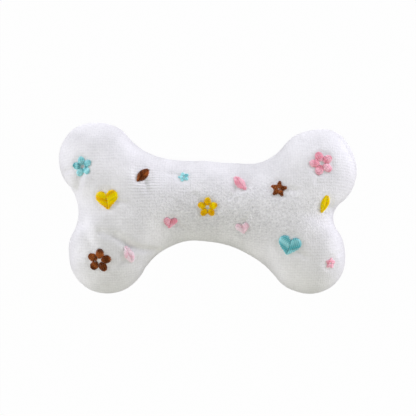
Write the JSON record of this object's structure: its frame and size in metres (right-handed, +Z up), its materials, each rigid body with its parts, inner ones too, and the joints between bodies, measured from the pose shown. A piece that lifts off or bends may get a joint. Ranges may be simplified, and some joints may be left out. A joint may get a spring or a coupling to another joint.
{
  "type": "bone-shaped dog toy",
  "caption": "Small stuffed velour bone for a dog, with embroidered motifs and a squeaker in its shaft.",
  "frame": {"origin": "centre of the bounding box's bottom face, on the surface the toy lies on", "axes": "+X along the toy's length, +Y across it towards the straight edge of the shaft, +Z up, out of the front panel"},
  "size_m": [0.1404, 0.0808, 0.0346],
  "materials": {
    "velour": "matte",
    "interfacing": "matte",
    "sewing_thread": "satin",
    "batting": "matte",
    "bladder_plastic": "satin",
    "whistle_plastic": "gloss",
    "reed_film": "gloss",
    "thread_gold": "satin",
    "thread_aqua": "satin",
    "thread_pink": "satin",
    "thread_pale_pink": "satin",
    "thread_brown": "satin"
  },
  "bodies": {
    "toy": {"front_panel": "velour", "back_panel": "velour", "front_embroidery_backing": "interfacing", "back_embroidery_backing": "interfacing", "seam_needle_thread": "sewing_thread", "seam_bobbin_thread": "sewing_thread", "closing_thread": "sewing_thread", "squeaker_bladder": "bladder_plastic", "shaft_front_stuffing": "batting", "shaft_back_stuffing": "batting", "top_left_lobe_stuffing": "batting", "bottom_left_lobe_stuffing": "batting", "top_right_lobe_stuffing": "batting", "bottom_right_lobe_stuffing": "batting", "front_aqua_flower_01": "thread_aqua", "front_brown_leaf_02": "thread_brown", "front_gold_heart_03": "thread_gold", "front_pale_pink_leaf_04": "thread_pale_pink", "front_brown_flower_05": "thread_brown", "front_pink_heart_06": "thread_pink", "front_aqua_star_07": "thread_aqua", "front_gold_flower_08": "thread_gold", "front_pink_leaf_09": "thread_pink", "front_pale_pink_heart_10": "thread_pale_pink", "front_brown_star_11": "thread_brown", "front_aqua_heart_12": "thread_aqua", "front_pink_flower_13": "thread_pink", "front_gold_leaf_14": "thread_gold", "front_pink_star_15": "thread_pink", "back_gold_star_01": "thread_gold", "back_pink_heart_02": "thread_pink", "back_aqua_leaf_03": "thread_aqua", "back_pale_pink_flower_04": "thread_pale_pink", "back_brown_heart_05": "thread_brown", "back_pink_star_06": "thread_pink", "back_gold_leaf_07": "thread_gold", "back_aqua_flower_08": "thread_aqua", "back_brown_star_09": "thread_brown"},
    "whistle": {"whistle_body": "whistle_plastic", "reed_seat": "whistle_plastic", "reed_wedge": "whistle_plastic"},
    "reed": {"reed": "reed_film"}
  },
  "joints": [
    {"name": "squeaker_press", "type": "slide", "parent": "toy", "child": "whistle", "axis": [0, 0, -1], "range_m": [0, 0.005], "stiffness_N_per_m": 600, "deforming": ["squeaker_bladder"]},
    {"name": "reed_flutter", "type": "hinge", "parent": "whistle", "child": "reed", "pos_m": [-0.00034, 0.00309, 0.023], "axis": [0, 1, 0], "range_deg": [-4, 4], "stiffness_Nm_per_rad": 0.000001}
  ]
}
